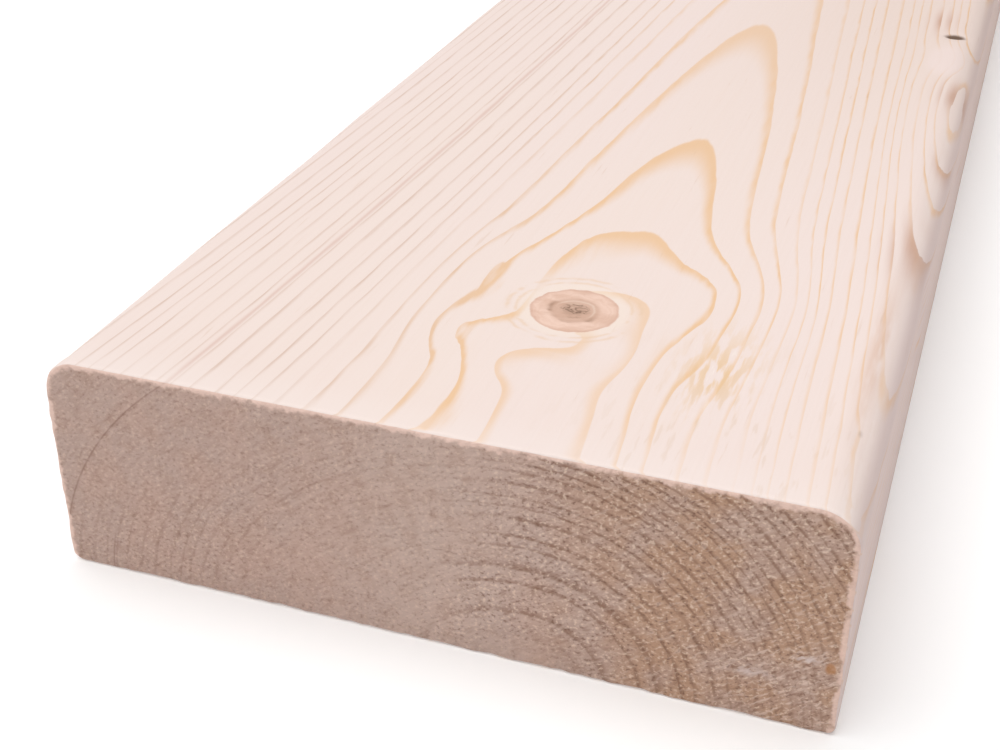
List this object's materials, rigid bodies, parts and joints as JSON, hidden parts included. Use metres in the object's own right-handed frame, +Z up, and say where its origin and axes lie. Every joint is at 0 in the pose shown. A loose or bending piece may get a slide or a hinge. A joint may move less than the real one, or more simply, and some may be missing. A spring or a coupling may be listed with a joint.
{
  "type": "timber plank",
  "caption": "Planed softwood plank with rounded upper edges and square-sawn ends, lying flat, for framing, joists, shelving and general carpentry.",
  "frame": {"origin": "on the surface that the plank lies on, under the middle of its length and width", "axes": "+Z up through the thickness, +Y along the length from the near sawn end to the far one, +X across the width"},
  "size_m": [0.145, 2.4, 0.044],
  "materials": {
    "softwood": "planed, unfinished spruce or pine with sawn ends"
  },
  "bodies": {
    "root": {"plank": "softwood"}
  },
  "joints": []
}
